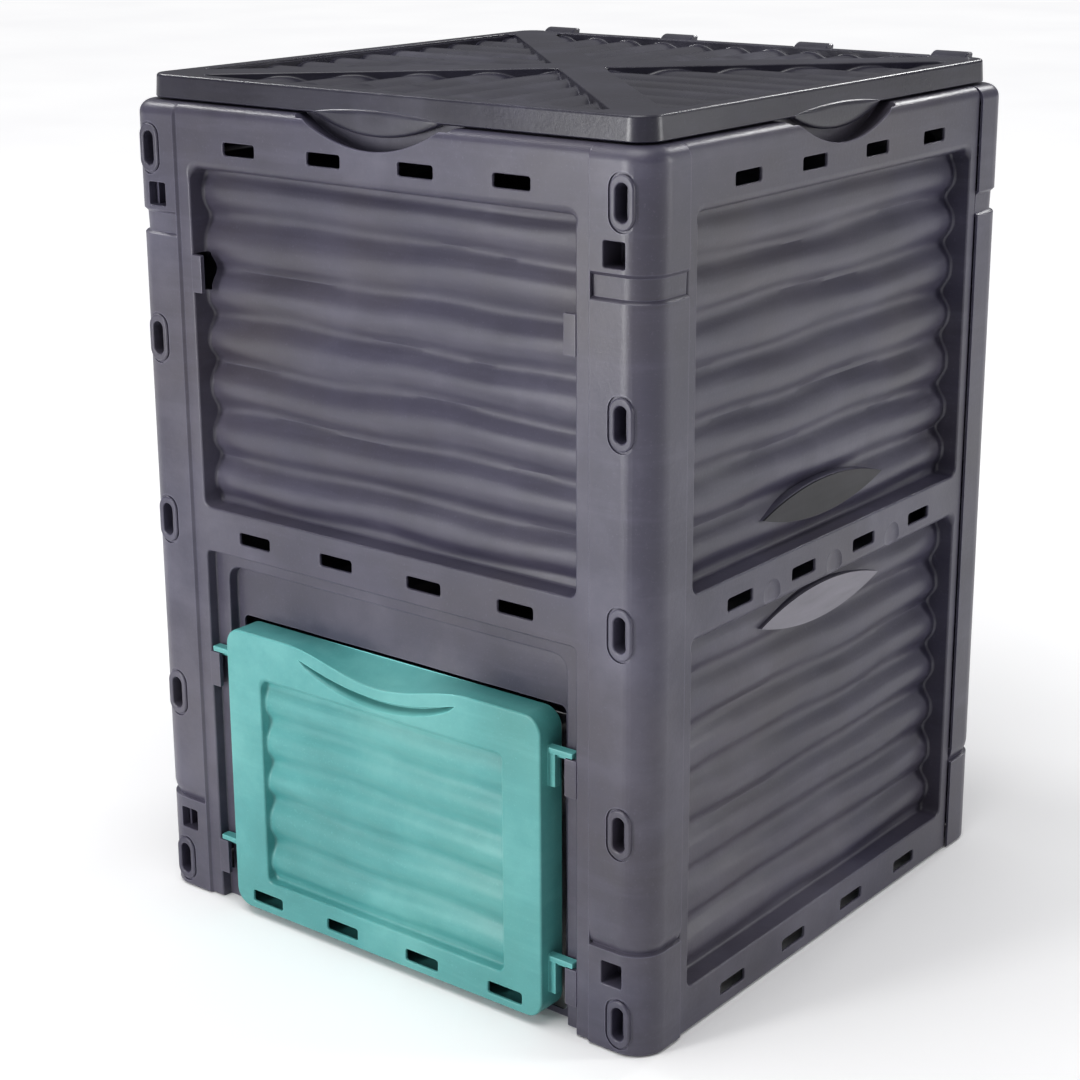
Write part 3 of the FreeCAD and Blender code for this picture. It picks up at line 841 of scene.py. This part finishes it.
def triangle_outline(shrink, radius, steps=5, spacing=5):
    """Three round corners of the lid's front triangle, moved in by shrink, and the points between them."""
    base = LID_HALF - LID_RIM - shrink
    clear = LID_BAND / math.sqrt(2) + shrink * math.sqrt(2)
    apex = Vector((0, -clear))
    left = Vector((-(base - clear), -base))
    right = Vector((base - clear, -base))
    corners = []
    for corner, before, after in ((apex, right, left), (left, apex, right), (right, left, apex)):
        a = (before - corner).normalized()
        b = (after - corner).normalized()
        half_angle = a.angle(b) / 2
        centre = corner + (a + b).normalized() * (radius / math.sin(half_angle))
        start = corner + a * (radius / math.tan(half_angle))
        end = corner + b * (radius / math.tan(half_angle))
        sweep_start = math.atan2(start.y - centre.y, start.x - centre.x)
        sweep = math.atan2(end.y - centre.y, end.x - centre.x) - sweep_start
        sweep = (sweep + math.pi) % (2 * math.pi) - math.pi
        turn = [sweep_start + sweep * k / steps for k in range(steps + 1)]
        corners.append([centre + Vector((math.cos(t), math.sin(t))) * radius for t in turn])
    counts = [round((a[-1] - b[0]).length / spacing) for a, b in zip(corners, corners[1:] + corners[:1])]
    return corners, counts


def walk(corners, counts):
    """Points once round the triangle, with counts steps along its straight sides."""
    points = []
    for turn, following, count in zip(corners, corners[1:] + corners[:1], counts):
        points += turn
        for k in range(1, count):
            points.append(turn[-1].lerp(following[0], k / count))
    return points


def ripple(x, y):
    """Height of the lid's fluted triangles; the flutes run from the edge towards the middle."""
    drift = 0.35 * noise.noise(Vector((x / 110, y / 110, 4)))
    return RIPPLE_HEIGHT * swell(2 * math.pi * x / RIPPLE_LENGTH + drift)


def well(floor, wall=0.0, mouth=1.6, foot=2.0):
    """Cutter for one triangle of the lid, with a fluted floor."""
    counts = triangle_outline(0, WELL_R)[1]
    loops = []
    levels = [(LID_TOP + 4, -mouth)]
    levels += [(LID_TOP - mouth * (1 - math.cos(a)), -mouth * (1 - math.sin(a))) for a in arc(4)]
    for z, shrink in levels:
        outline = walk(triangle_outline(shrink - wall, WELL_R + max(0, -shrink))[0], counts)
        loops.append([(p.x, p.y, z) for p in outline])
    for a in arc(3):
        shrink = foot * (1 - math.cos(a))
        outline = walk(triangle_outline(shrink - wall, WELL_R - 1)[0], counts)
        raise_by = foot * (1 - math.sin(a))
        loops.append([(p.x, p.y, floor + raise_by + ripple(p.x, p.y)) for p in outline])
    outline = walk(triangle_outline(foot - wall, WELL_R - 1)[0], counts)
    centre = Vector((0, -(LID_HALF - LID_RIM) * 0.62))
    rings = 40
    for k in range(1, rings):
        inner = [centre.lerp(p, 1 - k / rings) for p in outline]
        loops.append([(p.x, p.y, floor + ripple(p.x, p.y)) for p in inner])
    return loft(loops)


def lid_lip():
    """Bulging lip that hangs over a finger scoop."""
    steps = 30
    middle = LID_BOTTOM + 1
    bulge = (
        (6, 1.0), (3, 1.0), (1.2, 0.985), (0.1, 0.95),
        (-1.0, 0.85), (-1.7, 0.66), (-2.0, 0.4), (-2.1, 0.15),
    )
    loops = []
    for depth, size in bulge:
        y = -LID_HALF + depth
        loop = []
        for i in range(steps + 1):
            t = -1 + 2 * i / steps
            loop.append((LID_LIP_HALF * size * t, y, middle - LID_LIP_DROP * (1 - t * t) * size))
        for i in range(1, steps):
            t = 1 - 2 * i / steps
            loop.append((LID_LIP_HALF * size * t, y, middle + LID_LIP_RISE * (1 - t * t) * size))
        loops.append(loop)
    return loft(loops)


def round_hinge(radius, angles):
    """Points of an arc about the hinge's axis, as (y, z) pairs."""
    return [(HINGE[1] + radius * math.cos(a), HINGE[2] + radius * math.sin(a)) for a in angles]


def hinge_cover(middle):
    """Half-round cover on the lid's back edge over one hinge."""
    inner, outer = COVER_R
    loops = []
    for across, grow in chamfered(COVER_HALF, 1.5):
        outline = round_hinge(outer + grow, arc(10, 75, 165)) + round_hinge(inner, arc(10, 165, 75))
        loops.append([(middle + across, y, z) for y, z in outline])
    return loft(loops)


def knuckle(middle):
    """Solid hinge knuckle of the lid, with its arm towards the lid."""
    arm_end = HINGE[1] - 2 * HINGE_R
    loops = []
    for across, grow in chamfered(KNUCKLE_HALF):
        r = HINGE_R + grow
        outline = round_hinge(r, arc(14, -90, 90))
        outline += [(arm_end, HINGE[2] + r), (arm_end, HINGE[2])]
        outline += round_hinge(r, arc(4, 180, 255))
        loops.append([(middle + across, y, z) for y, z in outline])
    return loft(loops)


def hinge_notch(middle):
    """Cutter for the gap in the lid's back edge round one hinge."""
    inside, outside = HINGE[1] - 13.5, HALF + 9
    left, right = middle - 21.5, middle + 21.5
    corners = ((left, inside), (right, inside), (right, outside), (left, outside))
    return loft([[(x, y, z) for x, y in corners] for z in (LID_BOTTOM - 6, LID_TOP + 8)])


def lid_piece():
    lid = new_object("lid_shell", *lid_block())
    wells = [turned(well(LID_TOP - LID_SINK), turn) for turn in (0, 90, 180, 270)]
    combine(lid, wells)
    loops = [square_loop(LID_HALF - SKIN - 1, LID_R - SKIN, z) for z in (LID_BOTTOM - 4, LID_TOP - SKIN)]
    space = new_object("void", *loft(loops))
    for turn in (0, 90, 180, 270):
        combine(space, [turned(well(LID_TOP - LID_SINK - SKIN, SKIN, 0.2), turn)])
    combine(lid, space)
    for turn in (0, 90, 270):
        combine(lid, [turned(lid_lip(), turn)], "UNION")
    ring = HALF - FLANGE_DEPTH - 2
    depth = HALF - ring
    rib = block(LID_R - ring, ring - LID_R, depth, depth + SKIN, LID_BOTTOM - LID_RIB_DROP, LID_TOP - 2)
    for turn in (0, 90, 270):
        combine(lid, [turned(rib, turn)], "UNION")
    combine(lid, [hinge_notch(middle) for middle in PIN_MIDDLES])
    for middle in PIN_MIDDLES:
        combine(lid, [hinge_cover(middle)], "UNION")
        combine(lid, [knuckle(middle)], "UNION")
    return lid


# ---- hatch door ----
def door_block():
    edge = DOOR_EDGE_R
    levels = [(DOOR_FRONT + edge * (1 - math.cos(a)), -edge * (1 - math.sin(a))) for a in arc(5)]
    levels += [(DOOR_REAR - 0.8, 0), (DOOR_REAR, -0.6)]
    return stacked(0, DOOR_MIDDLE, DOOR_HALF, DOOR_HALF_Z, DOOR_R, levels)


def door_scoop(extra=0.0):
    """Dip in the door's top edge, deepest at the front and gone at the rear."""
    half = DOOR_SCOOP_HALF
    steps = 30
    shares = ((-6, 1.06), (0, 1.06), (1.5, 0.98), (10, 0.84), (20, 0.56), (28, 0.24), (31, 0.06))
    loops = []
    for behind, share in shares:
        depth = DOOR_FRONT + behind
        loop = []
        for i in range(steps + 1):
            t = -1 + 2 * i / steps
            drop = DOOR_SCOOP_DROP * share * (0.5 + 0.5 * math.cos(math.pi * t)) + extra
            loop.append(at(half * t, depth, DOOR_TOP - drop))
        loop.append(at(half, depth, DOOR_TOP + 8))
        loop.append(at(-half, depth, DOOR_TOP + 8))
        loops.append(loop)
    return loft(loops)


def handle_slit():
    """Crescent groove under the handle, with a steep upper wall and a floor that slopes back out."""
    steps = 26
    # Depth behind the door's front, reach above and below the arch, and half length.
    levels = (
        (-4, 2.2, 13, 99), (0, 1.6, 12, 98), (0.9, 0.5, 10.4, 97), (4, 0.2, 7.6, 95.5), (9, 0, 5.4, 94)
    )
    loops = []
    for behind, top, low, half in levels:
        depth = DOOR_FRONT + behind
        upper, lower = [], []
        for i in range(steps + 1):
            t = -1 + 2 * i / steps
            arch = SLIT_ENDS - SLIT_SAG * (1 - t * t)
            open_by = math.sqrt(max(0.0, 1 - t * t))
            upper.append(at(half * t, depth, arch + top * open_by + 0.15))
            lower.append(at(half * t, depth, arch - low * open_by * 0.8 - 0.15))
        loops.append(upper + lower[::-1])
    return loft(loops)


def handle_slit_grown():
    """The slit a skin deeper, wider and higher, so that plastic stays round it."""
    verts, faces = handle_slit()
    middle = 280
    face = DOOR_FRONT - HALF
    grown_verts = []
    for x, y, z in verts:
        grown_verts.append((x * 1.03, y + SKIN if y > face else y, middle + (z - middle) * 1.3))
    return grown_verts, faces


def door_hook(top):
    """Hook on the door's right side: a leg, an arm over the tab and a lip behind it."""
    side, end = DOOR_HALF, FIELD_HALF - 2.5
    rear, arm_top = 11, top + 6
    leg = block(side - 1, side + 8, 4, rear, top - 32, arm_top, 1.0)
    arm = block(side + 2, end, 2, rear, top + 0.6, arm_top, 1.0)
    lip = block(side + 2, end, 8.2, rear, top - 4, top + 4, 0.6)
    return [leg, arm, lip]


def door_piece():
    door = new_object("hatch_door_shell", *door_block())
    relief = corrugation(*DOOR_FIELD, DOOR_WAVES, DOOR_WAVE_HEIGHT, 8.4)
    area = (-DOOR_FIELD_HALF, DOOR_FIELD_HALF, *DOOR_FIELD)
    floor = DOOR_FRONT + DOOR_FIELD_DEPTH
    cuts = [pocket(area, DOOR_FRONT, floor, relief, 7, 2.2, 6, 2.5)]
    cuts += vent_row(DOOR_VENT_ROW, DOOR_FRONT, DOOR_VENT_COLUMNS)
    combine(door, cuts + [handle_slit()])
    combine(door, [door_scoop()])
    levels = ((DOOR_FRONT + SKIN, -SKIN), (DOOR_REAR + 6, -SKIN))
    space = new_object("void", *stacked(0, DOOR_MIDDLE, DOOR_HALF, DOOR_HALF_Z, DOOR_R, levels))
    combine(space, [pocket(grown(area), DOOR_FRONT, floor + SKIN, relief, 9, 0.1, None, 2.5, (18, 6))])
    combine(space, [door_scoop(SKIN)])
    combine(space, [handle_slit_grown()])
    combine(door, space)
    for top in TAB_TOPS[:2]:
        for part in door_hook(top):
            for side in both_sides(part):
                combine(door, [side], "UNION")
    return door


# ---- materials ----
class Nodes:
    """Short way to write a node material."""

    def __init__(self, name):
        self.material = bpy.data.materials.new(name)
        self.material.use_nodes = True
        self.tree = self.material.node_tree
        self.shader = self.tree.nodes["Principled BSDF"]
        place = self.add("ShaderNodeTexCoord")
        self.place = place.outputs["Object"]

    def add(self, kind, **settings):
        node = self.tree.nodes.new(kind)
        for key, value in settings.items():
            setattr(node, key, value)
        return node

    def link(self, source, target):
        self.tree.links.new(source, target)

    def fill(self, socket, value):
        """Gives a socket a number, a colour or another node's output."""
        if isinstance(value, (int, float)):
            socket.default_value = value
        elif isinstance(value, tuple):
            socket.default_value = (*value, 1)
        else:
            self.link(value, socket)

    def scaled(self, scale):
        node = self.add("ShaderNodeMapping")
        node.inputs["Scale"].default_value = scale
        self.link(self.place, node.inputs["Vector"])
        return node.outputs["Vector"]

    def noise(self, scale, detail=4, roughness=0.5, stretch=(1, 1, 1)):
        node = self.add("ShaderNodeTexNoise")
        node.inputs["Scale"].default_value = scale
        node.inputs["Detail"].default_value = detail
        node.inputs["Roughness"].default_value = roughness
        self.link(self.scaled(stretch), node.inputs["Vector"])
        return node.outputs["Fac"]

    def ramp(self, value, *stops):
        node = self.add("ShaderNodeValToRGB")
        ramp = node.color_ramp
        while len(ramp.elements) < len(stops):
            ramp.elements.new(0.5)
        for element, (position, color) in zip(ramp.elements, stops):
            element.position = position
            element.color = (*color, 1) if isinstance(color, tuple) else (color, color, color, 1)
        self.link(value, node.inputs["Fac"])
        return node.outputs["Color"]

    def between(self, value, low, high):
        node = self.add("ShaderNodeMapRange")
        node.inputs["To Min"].default_value = low
        node.inputs["To Max"].default_value = high
        self.link(value, node.inputs["Value"])
        return node.outputs["Result"]

    def mix(self, factor, first, second):
        """Mix of two colours. A Mix node has sockets for every data type: 6 and 7 are its colours."""
        node = self.add("ShaderNodeMix", data_type="RGBA")
        for index, value in ((0, factor), (6, first), (7, second)):
            self.fill(node.inputs[index], value)
        return node.outputs[2]

    def math(self, operation, first, second):
        node = self.add("ShaderNodeMath", operation=operation)
        self.fill(node.inputs[0], first)
        self.fill(node.inputs[1], second)
        return node.outputs["Value"]

    def bump(self, height, distance, strength=1.0, onto=None):
        node = self.add("ShaderNodeBump")
        node.inputs["Strength"].default_value = strength
        node.inputs["Distance"].default_value = distance
        self.link(height, node.inputs["Height"])
        if onto is not None:
            self.link(onto, node.inputs["Normal"])
        return node.outputs["Normal"]

    def set(self, **values):
        for key, value in values.items():
            self.fill(self.shader.inputs[key.replace("_", " ")], value)


def edge_wear_and_painted_highlight(n, radius):
    """Light along outer edges: partly wear, where handling polishes and scuffs the plastic, and partly a
    painted highlight along the rims.
    """
    bevel = n.add("ShaderNodeBevel", samples=4)
    bevel.inputs["Radius"].default_value = radius
    normal = n.add("ShaderNodeNewGeometry").outputs["Normal"]
    dot = n.add("ShaderNodeVectorMath", operation="DOT_PRODUCT")
    n.link(bevel.outputs["Normal"], dot.inputs[0])
    n.link(normal, dot.inputs[1])
    return n.ramp(dot.outputs["Value"], (0.70, 0.9), (0.985, 0.0))


def moulded(name, base, light, dark, tint, roughness, grain=1.0, flow=(1, 1, 1)):
    """Satin moulded polypropylene: cloudy flow marks, fine grain, dust and paler edges, which are part wear
    and part painted highlight.
    """
    n = Nodes(name)
    clouds = n.noise(5.5, 6, 0.62, flow)
    color = n.ramp(clouds, (0.30, dark), (0.52, base), (0.74, light))
    color = n.mix(n.ramp(n.noise(3.2, 4, 0.6), (0.45, 0.0), (0.70, 0.45)), color, tint)
    streaks = n.noise(18, 5, 0.65, (0.25 * flow[0], 0.25 * flow[1], 2.4 * flow[2]))
    color = n.mix(n.ramp(streaks, (0.52, 0.0), (0.80, 0.38)), color, light)
    speck = n.noise(420, 2, 0.5)
    color = n.mix(n.ramp(speck, (0.62, 0.0), (0.72, 0.30)), color, light)
    # Paler edges: part wear, part painted highlight standing in for the bright lines on lit rims.
    worn_and_highlit = tuple(min(1, c * 1.9) for c in light)
    color = n.mix(n.math("MULTIPLY", edge_wear_and_painted_highlight(n, 0.0022), 0.65), color, worn_and_highlit)
    rough = n.between(n.noise(9, 5, 0.6, flow), roughness - 0.13, roughness + 0.13)
    waviness = n.bump(n.noise(7, 3, 0.5, flow), 0.004, 0.22)
    pebble = n.bump(n.noise(260, 3, 0.55), 0.0006, 0.20 * grain, waviness)
    scratches = n.noise(60, 3, 0.7, (0.2, 0.2, 3.0))
    surface = n.bump(n.ramp(scratches, (0.60, 0.0), (0.66, 1.0)), 0.0002, 0.10 * grain, pebble)
    n.set(Base_Color=color, Roughness=rough, Normal=surface)
    n.shader.inputs["Specular IOR Level"].default_value = 0.5
    n.shader.inputs["IOR"].default_value = 1.49
    return n.material


def plate(name, base, light, roughness, sheen):
    """Smooth blank plate with a brushed sheen."""
    n = Nodes(name)
    color = n.ramp(n.noise(30, 4, 0.6, (1, 0.3, 2)), (0.35, base), (0.75, light))
    n.set(Base_Color=color, Roughness=n.between(n.noise(24, 4), roughness - 0.07, roughness + 0.07))
    n.set(Normal=n.bump(n.noise(240, 2), 0.0004, 0.12))
    n.shader.inputs["Specular IOR Level"].default_value = sheen
    return n.material


def studio_floor(name):
    """Pale floor that glows far away, where it meets the background, and not near the bin."""
    n = Nodes(name)
    color = n.ramp(n.noise(1.4, 3), (0.3, (0.86, 0.86, 0.865)), (0.7, (0.90, 0.90, 0.90)))
    far = n.add("ShaderNodeVectorMath", operation="LENGTH")
    n.link(n.place, far.inputs[0])
    distance = n.math("DIVIDE", far.outputs["Value"], 12.0)
    glow = n.math("MULTIPLY", n.ramp(distance, (0.06, 0.0), (0.32, 1.0)), 0.66)
    n.set(Base_Color=color, Roughness=0.75, Emission_Color=color, Emission_Strength=glow)
    return n.material


BODY = moulded(
    "body plastic",
    base=(0.040, 0.037, 0.061),
    light=(0.086, 0.082, 0.116),
    dark=(0.024, 0.022, 0.038),
    tint=(0.052, 0.043, 0.042),
    roughness=0.38,
)
LID = moulded(
    "lid plastic",
    base=(0.015, 0.014, 0.025),
    light=(0.048, 0.046, 0.068),
    dark=(0.008, 0.007, 0.014),
    tint=(0.014, 0.012, 0.018),
    roughness=0.30,
)
DOOR = moulded(
    "door plastic",
    base=(0.062, 0.265, 0.262),
    light=(0.125, 0.380, 0.372),
    dark=(0.040, 0.198, 0.194),
    tint=(0.080, 0.275, 0.240),
    roughness=0.40,
    grain=0.8,
)
PIN = moulded(
    "pin plastic",
    base=(0.038, 0.035, 0.045),
    light=(0.070, 0.065, 0.080),
    dark=(0.024, 0.022, 0.028),
    tint=(0.040, 0.036, 0.040),
    roughness=0.45,
)
BADGE_DARK = plate("dark badge", (0.008, 0.008, 0.010), (0.020, 0.019, 0.024), 0.34, 0.2)
BADGE_LIGHT = plate("light badge", (0.115, 0.108, 0.135), (0.175, 0.165, 0.200), 0.40, 0.6)


def paint(piece, material):
    piece.data.materials.clear()
    piece.data.materials.append(material)


def dress(piece, material, body, node=None):
    """Finishes a piece, rides it on its body and lets it stand for a node of the frame."""
    finish_shading(piece)
    paint(piece, material)
    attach(piece, body)
    if node:
        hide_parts(node)


def dress_wall(piece, node=None):
    dress(piece, BODY, "bin", node)


dress_wall(front_wall(), "front_panel")
dress_wall(back_wall(), "back_panel")
dress_wall(side_wall("right_wall", 90, 2.2), "right_panel")
dress_wall(side_wall("left_wall", 270, 11.5), "left_panel")
dress_wall(latch_tongues("latch_tongues_front", 0))
dress_wall(latch_tongues("latch_tongues_back", 180))
dress(lid_piece(), LID, "lid", "lid")
dress(door_piece(), DOOR, "hatch_door", "hatch_door")
for number in (1, 2, 3, 4):
    paint(frame["nodes"][f"hinge_pin_{number}"], PIN)
for side in ("left", "right"):
    paint(frame["nodes"][f"badge_{side}_upper"], BADGE_DARK)
    paint(frame["nodes"][f"badge_{side}_lower"], BADGE_LIGHT)


# ---- floor, light and camera ----
def studio():
    half = 60000
    corners = [(-half, -half, 0), (half, -half, 0), (half, half, 0), (-half, half, 0)]
    floor = new_object("studio_floor", corners, [(0, 1, 2, 3)])
    floor.data.transform(Matrix.Translation((0, 0, -0.5 * MM)))
    floor.data.materials.append(studio_floor("studio floor"))
    world = bpy.data.worlds.new("studio")
    world.use_nodes = True
    tree = world.node_tree
    direction = tree.nodes.new("ShaderNodeTexCoord")
    split = tree.nodes.new("ShaderNodeSeparateXYZ")
    ramp = tree.nodes.new("ShaderNodeValToRGB")
    low, high = ramp.color_ramp.elements
    low.position, high.position = 0.05, 0.75
    low.color = (0.10, 0.10, 0.11, 1)
    high.color = (0.52, 0.52, 0.53, 1)
    tree.links.new(direction.outputs["Generated"], split.inputs[0])
    tree.links.new(split.outputs["Z"], ramp.inputs["Fac"])
    tree.links.new(ramp.outputs["Color"], tree.nodes["Background"].inputs["Color"])
    bpy.context.scene.world = world


def soft_light(name, place, target, size, power):
    data = bpy.data.lights.new(name, "AREA")
    data.shape = "RECTANGLE"
    data.size, data.size_y = size
    data.energy = power
    lamp = bpy.data.objects.new(name, data)
    lamp.location = place
    lamp.rotation_euler = (Vector(target) - Vector(place)).to_track_quat("-Z", "Y").to_euler()
    bpy.context.scene.collection.objects.link(lamp)


def camera():
    """Camera at the viewing angle: azimuth, elevation and roll about a point near the middle."""
    azimuth, elevation, roll = (math.radians(d) for d in (38.26, 16.04, -0.31))
    target = Vector((-0.031, -0.023, 0.4186))
    distance = 2.2743
    level = math.cos(elevation)
    back = Vector((math.sin(azimuth) * level, -math.cos(azimuth) * level, math.sin(elevation)))
    right = Vector((math.cos(azimuth), math.sin(azimuth), 0))
    up = back.cross(right)
    right, up = right * math.cos(roll) + up * math.sin(roll), up * math.cos(roll) - right * math.sin(roll)
    data = bpy.data.cameras.new("camera")
    data.lens = 74.70
    data.sensor_width = 36
    data.shift_y = -0.06
    data.clip_start = 0.05
    data.clip_end = 60
    eye = bpy.data.objects.new("camera", data)
    turn = Matrix((right, up, back)).transposed().to_4x4()
    eye.matrix_world = Matrix.Translation(target + back * distance) @ turn
    bpy.context.scene.collection.objects.link(eye)
    bpy.context.scene.camera = eye


studio()
soft_light("overhead", (0.0, -0.9, 3.1), (0, 0, 0.5), (2.0, 2.0), 50)
soft_light("front", (-0.75, -2.6, 0.7), (0.2, -0.2, 0.45), (0.5, 1.4), 46)
soft_light("side", (2.5, 1.5, 1.2), (0, 0, 0.4), (0.6, 1.6), 28)
soft_light("left edges", (-2.3, -0.3, 2.6), (0, 0, 0.8), (0.5, 0.5), 22)
soft_light("back edges", (0.3, 2.5, 2.3), (0, 0, 0.8), (0.6, 0.5), 22)
camera()
bpy.context.scene.view_settings.view_transform = "Standard"
